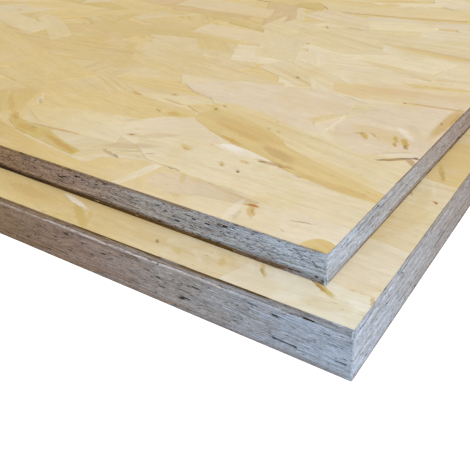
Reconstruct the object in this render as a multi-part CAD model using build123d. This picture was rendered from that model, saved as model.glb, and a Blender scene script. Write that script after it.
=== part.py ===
"""Two oriented strand board panels that lie loose in a stack.

A thinner sheet rests on a thicker one. The thinner sheet is set back from the
thicker sheet's near edges and turned a little, as a hand leaves it. Both are
full sheets, sawn on all four sides.

Millimetres, +Z up. The origin is the centre of the lower panel's underside.
+X is along the sheets' length, and the near corner is at +X, -Y.
"""

import os

from build123d import *

# Sheets as sold
panel_length = 2440.0
panel_width = 1220.0
lower_thickness = 18.0
upper_thickness = 11.0

# How the upper panel lies on the lower one, measured at the near corner
near_side_setback = 12.7
right_end_setback = 14.5
skew_angle = -1.23

# Sawn edges: a fine scoring cut beside one face, and arrises eased by handling
scoring_height = 2.7
scoring_setback = 0.35
arris_radius = 0.25
corner_radius = 0.6

# Voids where two strands don't meet, opened by the saw
void_depth = 1.4
shortest_void = 1.2
longest_void = 3.6
void_height = 0.6
void_spacing = 110.0
voids_begin = 150.0
void_layer = 0.6

# Voids that the photograph shows by the near corner. Each has its side, its
# distance from that corner, its height above the middle of the sheet, its
# length and the height of its opening.
LOWER_VOIDS = [
    ("front", 7, 4.8, 1.6, 0.7),
    ("front", 17, -4.8, 8.0, 0.5),
    ("front", 57, -4.3, 2.0, 0.7),
    ("front", 66, 0.2, 1.4, 0.5),
    ("front", 70, 1.8, 2.6, 0.8),
    ("front", 125, -3.6, 2.2, 0.6),
    ("right", 3, 1.4, 1.8, 0.7),
    ("right", 33, 4.0, 1.6, 0.5),
    ("right", 44, -6.4, 2.4, 0.6),
    ("right", 50, 4.6, 3.0, 0.7),
    ("right", 66, -0.8, 4.0, 0.8),
]
UPPER_VOIDS = [
    ("front", 26, 1.9, 1.2, 0.5),
    ("front", 31, 0.5, 1.4, 0.5),
    ("front", 34, 3.1, 1.6, 0.5),
    ("front", 38, -0.9, 2.2, 0.7),
    ("front", 46, 1.5, 1.6, 0.5),
    ("front", 53, -1.3, 1.4, 0.5),
    ("front", 61, 2.7, 1.2, 0.5),
    ("front", 98, 3.3, 2.4, 0.7),
    ("front", 106, 0.9, 1.8, 0.6),
    ("right", 28, 1.7, 1.6, 0.6),
    ("right", 74, -0.5, 2.0, 0.6),
]


def sheet_outline(inset):
    """The sheet's outline seen from above, moved in from the edges by inset."""
    return RectangleRounded(
        panel_length - 2 * inset,
        panel_width - 2 * inset,
        corner_radius,
    )


def sawn_sheet(thickness):
    """One full sheet, its underside centre at the origin.

    The main saw cuts the lower part of each edge. The scoring blade cuts the
    band under the top face and leaves it a little further in.
    """
    main_height = thickness - scoring_height
    main_cut = extrude(sheet_outline(0), main_height)
    scored_band = extrude(sheet_outline(scoring_setback), thickness)
    sheet = main_cut + scored_band
    faces_by_height = sheet.faces().filter_by(Axis.Z).sort_by(Axis.Z)
    arrises = faces_by_height[0].outer_wire().edges()
    arrises += faces_by_height[-1].outer_wire().edges()
    return fillet(arrises, arris_radius)


def from_near_corner(sheet):
    """Moves a sheet so that the near corner of its underside is the origin."""
    return Pos(-panel_length / 2, panel_width / 2, 0) * sheet


def uneven(number, share):
    """A spread of values from 0 to 1 that never settles into a rhythm."""
    return (number * share) % 1


def more_voids(side, side_length, thickness):
    """Voids along the rest of a side, in the same form as the lists above."""
    voids = []
    begin = voids_begin if side in ("front", "right") else 0
    for number in range(1, int((side_length - begin) / void_spacing)):
        along = begin + (number + 0.7 * uneven(number, 0.618)) * void_spacing
        height = (uneven(number, 0.382) - 0.5) * thickness * void_layer
        length = shortest_void + (longest_void - shortest_void) * uneven(number, 0.755)
        voids.append((side, along, height, length, void_height))
    return voids


def side_place(side, along, height):
    """A place on a sawn side, along it from its end by the near corner."""
    across_y = Rot(90, 0, 0)
    across_x = Rot(0, 0, 90) * Rot(90, 0, 0)
    places = {
        "front": Pos(-along, 0, height) * across_y,
        "back": Pos(-along, panel_width, height) * across_y,
        "right": Pos(0, along, height) * across_x,
        "left": Pos(-panel_length, along, height) * across_x,
    }
    return places[side]


def void_pocket(length, height):
    """A lens between two strands, as deep on either side of the sawn face."""
    left, right = (-length / 2, 0), (length / 2, 0)
    upper_strand = ThreePointArc(left, (0, height / 2), right)
    lower_strand = ThreePointArc(right, (0, -height / 2), left)
    return extrude(make_face(upper_strand + lower_strand), void_depth, both=True)


def open_voids(sheet, thickness, seen_voids):
    """Cuts the voids into a sheet whose near corner is at the origin."""
    voids = list(seen_voids)
    for side in ("front", "back"):
        voids += more_voids(side, panel_length, thickness)
    for side in ("right", "left"):
        voids += more_voids(side, panel_width, thickness)
    pockets = [
        side_place(side, along, thickness / 2 + height) * void_pocket(length, opening)
        for side, along, height, length, opening in voids
    ]
    return sheet - pockets


def lower_panel():
    """The thick panel, with its scored band up."""
    sheet = from_near_corner(sawn_sheet(lower_thickness))
    sheet = open_voids(sheet, lower_thickness, LOWER_VOIDS)
    return Pos(panel_length / 2, -panel_width / 2, 0) * sheet


def upper_panel():
    """The thin panel, turned over so that its scored band is down.

    It turns about its own near corner, which stays at the two setbacks.
    """
    turned_over = Pos(0, 0, upper_thickness) * Rot(180, 0, 0) * sawn_sheet(upper_thickness)
    sheet = open_voids(from_near_corner(turned_over), upper_thickness, UPPER_VOIDS)
    seat_corner = Vector(
        panel_length / 2 - right_end_setback,
        -panel_width / 2 + near_side_setback,
        lower_thickness,
    )
    return Pos(seat_corner) * Rot(0, 0, skew_angle) * sheet


NODES = {
    "lower_panel": lower_panel,
    "upper_panel": upper_panel,
}

os.makedirs("parts", exist_ok=True)
for name, make in NODES.items():
    export_step(make(), f"parts/{name}.step")
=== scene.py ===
# %% [markdown]
# # Two strand boards in a loose stack
# Oriented strand board is made of thin wood strands, pressed flat with resin and wax. This script
# dresses two full sheets of it. The CAD solids give the size and place of everything, so they are
# loaded first and measured, and nothing below moves them.

# %% Load the frame
import math

import bpy
import numpy as np
from mathutils import Matrix, Vector


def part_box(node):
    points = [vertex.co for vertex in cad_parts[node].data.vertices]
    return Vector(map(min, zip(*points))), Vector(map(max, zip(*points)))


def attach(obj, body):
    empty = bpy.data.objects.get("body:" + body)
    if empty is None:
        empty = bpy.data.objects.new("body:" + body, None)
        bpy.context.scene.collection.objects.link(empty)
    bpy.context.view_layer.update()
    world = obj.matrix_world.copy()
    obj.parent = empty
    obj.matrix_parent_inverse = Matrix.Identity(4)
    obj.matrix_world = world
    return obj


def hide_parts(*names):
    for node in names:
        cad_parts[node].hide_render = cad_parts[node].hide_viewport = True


MM = 0.001
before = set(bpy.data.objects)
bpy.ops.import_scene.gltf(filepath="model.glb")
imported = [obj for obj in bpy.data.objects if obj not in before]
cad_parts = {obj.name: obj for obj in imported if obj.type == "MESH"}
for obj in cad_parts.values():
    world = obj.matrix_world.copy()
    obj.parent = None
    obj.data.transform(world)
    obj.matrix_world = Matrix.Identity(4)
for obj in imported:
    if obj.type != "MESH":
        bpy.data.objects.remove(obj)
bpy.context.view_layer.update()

# %% [markdown]
# ## Where each sheet lies
# The lower sheet is square to the axes, so its box gives the sheet's length, width and thickness. The
# upper sheet is the same size but turned a little. A turned rectangle's box is longer by the width
# times the sine of the turn, and wider by the length times that sine, so the two boxes give the turn.
# Each sheet gets a frame of its own: x runs along it from the far end to 0 at the near corner, y runs
# from 0 at the near long side to the width, and z from 0 to the thickness.

# %% Measure the sheets
lower_low, lower_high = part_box("lower_panel")
upper_low, upper_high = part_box("upper_panel")
LENGTH, WIDTH, LOWER_THICKNESS = lower_high - lower_low
UPPER_THICKNESS = upper_high.z - upper_low.z
upper_size = upper_high - upper_low
turn_sine = (LENGTH * upper_size.y - WIDTH * upper_size.x) / (LENGTH**2 - WIDTH**2)
upper_corner = Vector((upper_high.x - WIDTH * turn_sine, upper_low.y, upper_low.z))
LOWER_FRAME = Matrix.Translation((lower_high.x, lower_low.y, lower_low.z))
UPPER_FRAME = Matrix.Translation(upper_corner) @ Matrix.Rotation(-math.asin(turn_sine), 4, "Z")
THICKNESS = {"lower_panel": LOWER_THICKNESS, "upper_panel": UPPER_THICKNESS}
FRAME_OF = {"lower_panel": LOWER_FRAME, "upper_panel": UPPER_FRAME}
print("Sheet size:", LENGTH, WIDTH, "turn in degrees:", math.degrees(math.asin(turn_sine)))

# %% [markdown]
# ## Colours
# Colours are written as they look on a screen, in sRGB hex, and one function turns them to the linear
# values that the shaders add up. The strands are spruce and pine: nearly white sapwood, straw and honey
# heartwood, a few stained or resinous ones. The sawn edges carry a thin grey sealer, cooler where it
# lies thick and browner where the wood shows through, and part of its change from cool to brown is
# painted light.


# %% Name the colours
def linear(hex_colour):
    """The linear red, green and blue of an sRGB hex colour."""
    channels = [int(hex_colour[i : i + 2], 16) / 255 for i in (1, 3, 5)]
    return np.array([c / 12.92 if c <= 0.04045 else ((c + 0.055) / 1.055) ** 2.4 for c in channels])


WOOD = {
    "white": linear("#eee6d6"),
    "mist": linear("#ebe7d4"),
    "pale": linear("#e9ddc4"),
    "cream": linear("#e5d6b3"),
    "blush": linear("#e2cfb2"),
    "straw": linear("#dfc68c"),
    "honey": linear("#d8be82"),
    "tan": linear("#d4b280"),
    "olive": linear("#cfb56e"),
    "gold": linear("#c8a65a"),
    "dun": linear("#d2bf9c"),
    "amber": linear("#c2943c"),
    "russet": linear("#a5763f"),
    "ember": linear("#b06420"),
    "bark": linear("#5f4526"),
    "grey": linear("#a89a86"),
}
SEALER_COOL = linear("#b5c5da")
SEALER_GREY = linear("#aaa7a7")
SEALER_TAUPE = linear("#9f8a7e")
SEALER_BROWN = linear("#957b5f")
BARE_EDGE = linear("#70521f")
BARE_IN_PAINTED_SHADE = linear("#331c06")
RIDGE_HIGHLIGHT = linear("#dcd8dc")
THIN_SEALER = linear("#8b7048")
PIT_SHADE_BROWN = linear("#2a2018")
VOID_WALL_SHADE = linear("#54463a")
print("Wood colours:", len(WOOD))

# %% [markdown]
# ## The camera
# The photograph looks down on the near corner from about 160 mm away. The camera's place comes from
# the sheets' edges: their directions give the lens and the angles, and the two thicknesses give the
# distance. It is written here as an offset from the lower sheet's near top corner and a direction.

# %% Set up the camera
CAMERA_OFFSET = Vector((44.3, -109.8, 106.4)) * MM
CAMERA_FORWARD = Vector((-0.4929, 0.6769, -0.5467))
CAMERA_ROLL = math.radians(-3.55)
CAMERA_LENS = 46.81
SENSOR_WIDTH = 36

near_top_corner = Vector((lower_high.x, lower_low.y, lower_high.z))
camera = bpy.data.objects.new("camera", bpy.data.cameras.new("camera"))
bpy.context.scene.collection.objects.link(camera)
camera.location = near_top_corner + CAMERA_OFFSET
camera.rotation_mode = "QUATERNION"
level = CAMERA_FORWARD.to_track_quat("-Z", "Y")
camera.rotation_quaternion = level @ Matrix.Rotation(CAMERA_ROLL, 3, "Z").to_quaternion()
camera.data.lens = CAMERA_LENS
camera.data.sensor_width = SENSOR_WIDTH
camera.data.clip_start = 5 * MM
camera.data.clip_end = 100
bpy.context.scene.camera = camera
print("Camera at", list(camera.location))

# %% [markdown]
# ## Materials are built node by node
# One helper adds a node, sets what is passed to it and links its inputs. A value that is another
# node's output is linked, and anything else is set on the socket.


# %% A helper that adds a node
def add(tree, kind, settings=None, **inputs):
    """Adds a shader node. Inputs are named as its sockets are, with _ for a space, or by number."""
    made = tree.nodes.new("ShaderNode" + kind)
    for name, value in (settings or {}).items():
        setattr(made, name, value)
    for name, value in inputs.items():
        number = name.removeprefix("input_")
        socket = made.inputs[int(number) if number.isdigit() else name.replace("_", " ")]
        if isinstance(value, bpy.types.NodeSocket):
            tree.links.new(value, socket)
        else:
            socket.default_value = value
    return made


def new_material(name):
    """An empty node material, its tree and its output node."""
    material = bpy.data.materials.new(name)
    material.use_nodes = True
    material.node_tree.nodes.clear()
    output = material.node_tree.nodes.new("ShaderNodeOutputMaterial")
    return material, material.node_tree, output


print("Node helpers ready")

# %% [markdown]
# ## Studio
# A softly lit white table. The floor is diffuse, so it bounces light up onto the sawn edges and keeps a
# faint shadow, and for rays from the camera it adds enough light of its own to read as white paper. The
# sun lamp is wide, as a large softbox is, and comes from the right, so the right-hand edges are lighter
# than the front ones, as in the photograph.

# %% Lights and floor
WORLD_LEVEL = 0.60
SUN_LEVEL = 1.85
SUN_SPREAD = math.radians(35)
SUN_FROM = Vector((0.80, -0.24, 0.74))
FLOOR_SIZE = 60.0
FLOOR_GLOW = 0.62
PAPER_WHITE = (0.86, 0.86, 0.86, 1)

world = bpy.data.worlds.new("soft studio")
bpy.context.scene.world = world
world.use_nodes = True
world.node_tree.nodes["Background"].inputs["Strength"].default_value = WORLD_LEVEL
world.node_tree.nodes["Background"].inputs["Color"].default_value = (1, 1, 1, 1)

sun = bpy.data.objects.new("softbox", bpy.data.lights.new("softbox", "SUN"))
bpy.context.scene.collection.objects.link(sun)
sun.data.energy = SUN_LEVEL
sun.data.angle = SUN_SPREAD
sun.rotation_mode = "QUATERNION"
sun.rotation_quaternion = SUN_FROM.to_track_quat("Z", "Y")

paper, tree, output = new_material("white studio paper")
rays = add(tree, "LightPath").outputs
capped_sum = {"operation": "ADD", "use_clamp": True}
seen = add(
    tree,
    "Math",
    capped_sum,
    input_0=rays["Is Camera Ray"],
    input_1=rays["Is Glossy Ray"],
).outputs[0]
seen = add(
    tree,
    "Math",
    capped_sum,
    input_0=seen,
    input_1=rays["Is Transmission Ray"],
).outputs[0]
glow = add(tree, "Math", {"operation": "MULTIPLY"}, input_0=seen, input_1=FLOOR_GLOW)
diffuse = add(tree, "BsdfDiffuse", Color=PAPER_WHITE)
emission = add(tree, "Emission", Color=(1, 1, 1, 1), Strength=glow.outputs[0])
both = add(tree, "AddShader", input_0=diffuse.outputs[0], input_1=emission.outputs[0])
tree.links.new(both.outputs[0], output.inputs["Surface"])

bpy.ops.object.select_all(action="DESELECT")
bpy.ops.mesh.primitive_plane_add(size=FLOOR_SIZE, location=(0, 0, lower_low.z))
floor = bpy.context.object
floor.name = "floor"
bpy.ops.object.transform_apply(location=True, rotation=True, scale=True)
floor.data.materials.append(paper)
bpy.context.scene.view_settings.view_transform = "Standard"
print("Studio ready")

# %% [markdown]
# ## Small shader recipes
# Every material here is put together from the same few recipes: noise stretched along the grain,
# patterns mapped to shares, a colour made darker and lighter by a pattern, a colour mixed towards
# another by patterns, and a map bent sideways. A pattern is written as its value, the low and high
# values that count, and the shares that these two become.


# %% Shader recipes
def stretched_noise(tree, vector, length, width, detail, roughness=0.55):
    """Noise whose grains are about length by width metres in the map's x and y."""
    scale = (1 / length, 1 / width, 1 / max(length, width))
    scaled = add(tree, "Mapping", Vector=vector, Scale=scale)
    noise = add(
        tree,
        "TexNoise",
        Vector=scaled.outputs[0],
        Scale=1.0,
        Detail=detail,
        Roughness=roughness,
    )
    return noise.outputs["Fac"]


def mapped(tree, *patterns, ease="LINEAR"):
    """The product of the patterns' shares. Beyond low and high the shares stay the same."""
    shares = []
    for value, low, high, at_low, at_high in patterns:
        share = add(
            tree,
            "MapRange",
            {"clamp": True, "interpolation_type": ease},
            Value=value,
            From_Min=low,
            From_Max=high,
            To_Min=at_low,
            To_Max=at_high,
        )
        shares.append(share.outputs[0])
    product = shares[0]
    for share in shares[1:]:
        product = add(tree, "Math", {"operation": "MULTIPLY"}, input_0=product, input_1=share)
        product = product.outputs[0]
    return product


def shaded(tree, colour, *pattern):
    """The colour made darker and lighter by one pattern, without a change of hue."""
    factor = mapped(tree, pattern)
    return add(tree, "HueSaturation", Color=colour, Value=factor).outputs[0]


def mixed(tree, colour, other, *patterns, ease="LINEAR"):
    """The colour mixed towards another by the patterns."""
    share = mapped(tree, *patterns, ease=ease)
    rgba = (*other, 1)
    mix = add(tree, "Mix", {"data_type": "RGBA"}, input_0=share, input_6=colour, input_7=rgba)
    return mix.outputs[2]


def wander(tree, vector, length, width, sideways):
    """Bends a map's y by a slow noise, so that straight streaks flow as grain does."""
    noise = stretched_noise(tree, vector, length, width, 2)
    offset = mapped(tree, (noise, 0.0, 1.0, -sideways, sideways))
    shift = add(tree, "CombineXYZ", Y=offset).outputs[0]
    bent = add(tree, "VectorMath", {"operation": "ADD"}, input_0=vector, input_1=shift)
    return bent.outputs[0]


print("Recipes ready")

# %% [markdown]
# ## Marks by the near corner
# Where the photograph looks closely, single marks are added to the wood: knots, resin streaks, stains
# and torn flakes. Each is a soft-edged ellipse between two points of the sheet. A row gives its colour,
# its strength, its width, and the two points in millimetres left and back from the sheet's near corner.

# %% Marks
UPPER_MARKS = [
    # the honey strand's darker and redder parts
    ("amber", 0.22, 9.0, (84, 62), (52, 54)),
    ("amber", 0.25, 4.0, (76, 57), (54, 51)),
    ("amber", 0.55, 2.2, (71, 49), (61, 45.6)),
    ("russet", 0.30, 5.0, (50, 48), (38, 43)),
    ("russet", 0.45, 2.2, (48, 38.6), (34, 38.4)),
    ("bark", 0.55, 1.5, (47, 37.8), (45, 38.2)),
    ("amber", 0.28, 4.0, (30, 36), (6, 33)),
    ("honey", 0.40, 5.0, (90, 64), (82, 60)),
    ("straw", 0.55, 6.0, (34, 49), (6, 41)),
    ("bark", 0.30, 1.0, (31, 34.6), (28.5, 34.4)),
    # the yellow band above it
    ("honey", 0.30, 7.0, (82, 71), (44, 62)),
    ("russet", 0.35, 1.3, (60, 64), (58.8, 63)),
    ("russet", 0.30, 1.0, (55, 62.8), (54, 62)),
    ("russet", 0.25, 1.2, (60.5, 71), (59.5, 70)),
    # the near-white sliver, with pale wood around it
    ("white", 0.90, 3.4, (66, 43), (58, 41.6)),
    ("blush", 0.30, 12.0, (98, 50), (76, 44)),
    ("pale", 0.30, 4.0, (46, 77), (32, 64)),
    # pin knots in the wide cream strand
    ("olive", 0.60, 3.2, (79, 34.8), (75, 33.4)),
    ("amber", 0.45, 1.4, (77.5, 34), (75.5, 33)),
    ("gold", 0.55, 2.2, (58.5, 30.5), (56.5, 29)),
    ("bark", 0.45, 0.9, (57.4, 29.2), (56.4, 28.6)),
    ("gold", 0.50, 1.8, (52.5, 35), (49.5, 34.6)),
    ("olive", 0.70, 1.1, (50.4, 35), (49.8, 34.4)),
    ("amber", 0.35, 1.6, (50, 28.6), (49.6, 28)),
    ("bark", 0.80, 0.9, (49.3, 27.8), (48.8, 27.4)),
    # the resin knot and the pale flake beside it
    ("white", 0.40, 3.0, (36.5, 12), (35.4, 1)),
    ("amber", 0.60, 2.0, (33.6, 11.2), (30.2, 11.4)),
    ("ember", 0.90, 1.0, (33.2, 11.5), (30.6, 11.7)),
    ("gold", 0.60, 3.0, (31.6, 9.8), (29.4, 6.6)),
    ("amber", 0.70, 0.9, (31.0, 9.6), (29.4, 7.4)),
    ("grey", 0.25, 2.0, (33.6, 6.6), (32.6, 2)),
    # lines and stains below the cream strand; the first two lines are painted shade along its lower
    # edge
    ("bark", 0.40, 0.7, (75, 19), (66, 18.2)),
    ("grey", 0.35, 0.7, (62, 16.8), (38, 16.2)),
    ("olive", 0.45, 2.4, (64.4, 17), (61, 12.6)),
    ("honey", 0.45, 2.2, (60, 15.4), (55, 15)),
    ("olive", 0.45, 2.0, (58.5, 4.8), (56, 3.6)),
    ("honey", 0.30, 3.0, (75, 6), (71, 2)),
    ("honey", 0.16, 13.0, (104, 6), (64, 8)),
    ("bark", 0.50, 0.6, (18, 9.8), (11, 11.3)),
    ("grey", 0.30, 1.0, (17.6, 4.2), (16.4, 3.6)),
    # flecks along the right-hand side
    ("honey", 0.45, 10.0, (29, 80), (12, 76)),
    ("gold", 0.85, 2.2, (26.4, 76.6), (23.4, 72.8)),
    ("russet", 0.60, 0.9, (29.4, 75), (25.6, 77)),
    ("pale", 0.50, 0.9, (24.4, 77), (20.4, 74.4)),
    ("russet", 0.45, 0.7, (24, 78.4), (18.6, 74)),
    ("gold", 0.90, 1.8, (14.6, 79), (12.4, 75.4)),
    ("amber", 0.80, 1.2, (12.8, 74), (11.3, 71.6)),
    ("gold", 0.95, 2.4, (10.8, 78), (7.6, 72.6)),
    ("bark", 0.45, 1.3, (8.6, 73.4), (7.2, 71.2)),
    ("white", 0.55, 3.0, (16.4, 87), (8.4, 79.6)),
    ("dun", 0.50, 3.4, (13.4, 90.4), (8.6, 85.6)),
    ("amber", 0.50, 2.4, (11, 60), (5, 63)),
    ("bark", 0.65, 1.1, (13, 58.4), (7, 61.6)),
    ("bark", 0.80, 1.0, (8, 62), (1.2, 66)),
    ("bark", 0.80, 1.5, (1.7, 65.8), (1, 65.8)),
    ("russet", 0.55, 2.6, (3, 63.4), (0.4, 61)),
    ("white", 0.40, 2.0, (13, 62.6), (2, 68.6)),
    ("grey", 0.30, 0.7, (14, 64), (4, 70)),
    ("gold", 0.70, 5.0, (2.4, 114), (3.0, 86)),
    ("amber", 0.55, 1.6, (1, 112), (1, 98)),
    ("russet", 0.75, 1.1, (4.3, 98.4), (3.9, 97.6)),
    # around the back of the picture
    ("russet", 0.22, 1.0, (40, 91.4), (39.4, 90.2)),
    ("honey", 0.32, 4.6, (49, 79), (41, 89)),
    ("white", 0.35, 0.9, (39.4, 88), (39.4, 68)),
    ("grey", 0.25, 0.7, (39, 91), (27, 104)),
    ("amber", 0.55, 1.8, (24.6, 112), (0.4, 114)),
    ("russet", 0.55, 1.2, (24.8, 112), (24, 111.4)),
    ("tan", 0.30, 16.0, (44, 124), (0, 128)),
    ("tan", 0.20, 9.0, (56, 112), (30, 122)),
    ("grey", 0.35, 1.2, (50, 108), (38, 104)),
    ("pale", 0.40, 1.4, (46, 108), (40, 106)),
    # knots on the left
    ("bark", 0.70, 1.6, (90.3, 70.4), (89.3, 69.2)),
    ("bark", 0.35, 1.5, (89.2, 74.6), (87.6, 73.6)),
    ("olive", 0.35, 4.4, (93, 74), (88, 66)),
    ("olive", 0.60, 4.6, (104.6, 57.4), (100, 56.6)),
    ("amber", 0.35, 3.0, (104, 57.2), (101, 56.8)),
    ("olive", 0.45, 4.0, (99.4, 56.6), (96.6, 56.8)),
    ("bark", 0.40, 1.1, (112, 57.8), (109.6, 56.2)),
    ("amber", 0.45, 1.8, (118, 69.4), (105, 67.4)),
    ("amber", 0.60, 2.2, (137, 69.2), (130.6, 67.6)),
    ("tan", 0.32, 9.0, (138, 74), (108, 82)),
    ("tan", 0.40, 9.0, (196, 42), (176, 50)),
    # wrinkled flakes that lie across the grain
    ("russet", 0.22, 5.0, (105, 21), (88, 29)),
    ("russet", 0.45, 1.8, (103.4, 17.6), (94, 15.4)),
    ("grey", 0.40, 1.2, (98, 19.6), (90, 24)),
    ("bark", 0.35, 1.1, (97, 17), (93.6, 15)),
    ("bark", 0.30, 0.9, (86.6, 22.8), (83.6, 24.6)),
    ("pale", 0.45, 1.0, (93, 20.6), (86, 24)),
    ("russet", 0.18, 4.0, (100, 33), (88, 40)),
    # the dark forked strand at the left, and the yellower wood in front of it
    ("gold", 0.60, 13.0, (215, 6), (158, 6)),
    ("amber", 0.40, 4.0, (152, 17.5), (142, 16)),
    ("bark", 0.25, 1.4, (146, 18.6), (143.6, 18.2)),
    ("amber", 0.60, 3.0, (134, 16), (112, 10.4)),
    ("amber", 0.60, 1.6, (152, 21.6), (123, 22.8)),
    ("amber", 0.50, 2.6, (166, 26), (159, 21)),
    ("olive", 0.55, 8.0, (182, 46), (168, 28)),
    ("amber", 0.35, 3.0, (186, 38), (170, 27)),
    ("pale", 0.40, 2.4, (172, 46), (166, 38)),
    ("bark", 0.30, 1.2, (169, 42), (164, 38)),
]
LOWER_MARKS = [
    ("olive", 0.90, 2.3, (18.4, 13.4), (11.6, 9.8)),
    ("russet", 0.60, 1.1, (18.8, 13), (14, 10.6)),
    ("amber", 0.55, 1.6, (1.6, 14), (0.4, 12)),
    ("olive", 0.22, 6.0, (14, 5), (7, 7)),
    ("honey", 0.16, 7.0, (60, 5), (28, 7)),
    ("white", 0.45, 2.4, (30, 12.4), (28, 9)),
    ("olive", 0.70, 1.8, (35.4, 12.4), (32, 8.4)),
    ("bark", 0.35, 0.9, (34.4, 11), (33, 9)),
    ("white", 0.35, 2.0, (39, 12), (36.6, 9)),
    ("olive", 0.55, 2.2, (47.4, 9), (46.2, 6.8)),
    ("honey", 0.40, 4.0, (50, 12), (44, 9)),
    ("olive", 0.45, 2.2, (64, 6.6), (61.2, 5.2)),
    ("pale", 0.45, 2.0, (58, 9), (53, 5)),
    ("bark", 0.70, 1.3, (71.7, 7.1), (70.9, 6.5)),
    ("honey", 0.30, 5.0, (80, 8), (68, 7)),
    ("olive", 0.80, 3.4, (112, 10.6), (98.6, 1.4)),
    ("olive", 0.45, 2.0, (103, 9), (100, 4)),
    ("white", 0.90, 2.2, (121, 14), (107, 10.4)),
    ("honey", 0.40, 9.0, (152, 8), (120, 7)),
    ("amber", 0.22, 5.0, (146, 10), (126, 8)),
    ("ember", 0.85, 1.3, (4.5, 72), (3.7, 71.2)),
    ("gold", 0.60, 2.4, (11, 98), (7, 88)),
    ("russet", 0.30, 0.9, (9, 94), (7, 88)),
    ("honey", 0.24, 5.0, (8, 76), (8, 50)),
    ("honey", 0.30, 3.0, (4, 64), (6, 54)),
    ("pale", 0.50, 1.4, (9, 84), (6, 76)),
]
MARK_SPREAD = 0.62


def add_mark(tree, colour, place, mark, sheet_frame):
    """Mixes one mark into the colour: full along its middle line, fading out at its edge."""
    name, strength, width, first, last = mark
    start = sheet_frame @ Vector((-first[0] * MM, first[1] * MM, 0))
    end = sheet_frame @ Vector((-last[0] * MM, last[1] * MM, 0))
    run = end - start
    ball = add(tree, "TexGradient", {"gradient_type": "SPHERICAL"}, Vector=place)
    ball.texture_mapping.vector_type = "TEXTURE"
    ball.texture_mapping.translation = (start + end) / 2
    ball.texture_mapping.rotation = (0, 0, math.atan2(run.y, run.x))
    ball.texture_mapping.scale = Vector((run.length + width * MM, width * MM, 2)) * MARK_SPREAD
    fading = (ball.outputs["Fac"], 0.0, 0.50, 0.0, strength)
    return mixed(tree, colour, WOOD[name], fading, ease="SMOOTHSTEP")


print("Marks:", len(UPPER_MARKS), "on the upper sheet,", len(LOWER_MARKS), "on the lower")

# %% [markdown]
# ## Pressed strand wood
# Each strand is sliced along the grain, so fine fibre lines run down its length and broader growth
# bands wander with them. The pattern reads the strand's own UV map, in metres along and across the
# grain, and its colour comes from an attribute, because neighbouring strands come from other logs.
# Every strand has its own part of that map, so a very slow noise gives some strands strong bands and
# others hardly any. Pressing leaves the faces smooth and a little waxy: the roughness is moderate and
# the bump small.

# %% Strand wood material
FIBRE_WIDTH = 0.6 * MM
FIBRE_LENGTH = 16 * MM
FLOW_WIDTH = 7 * MM
FLOW_LENGTH = 34 * MM
FLOW_REACH = 1.6 * MM
BAND_WIDTH = 2.8 * MM
BAND_LENGTH = 70 * MM
SWELL_WIDTH = 9 * MM
SWELL_LENGTH = 60 * MM
MOTTLE_WIDTH = 1.7 * MM
MOTTLE_LENGTH = 5.5 * MM
FLECK_WIDTH = 0.5 * MM
FLECK_LENGTH = 3.0 * MM
FLECK_AREA = 22 * MM
STAIN_SIZE = 17 * MM
STRAND_CHANGE = 400 * MM
PIN_SPACING = 55 * MM
TEAR_SIZE = 2.2 * MM
TEAR_REACH = 0.8 * MM
FIBRE_RELIEF = 0.07 * MM
WOOD_IOR = 1.45


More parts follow.
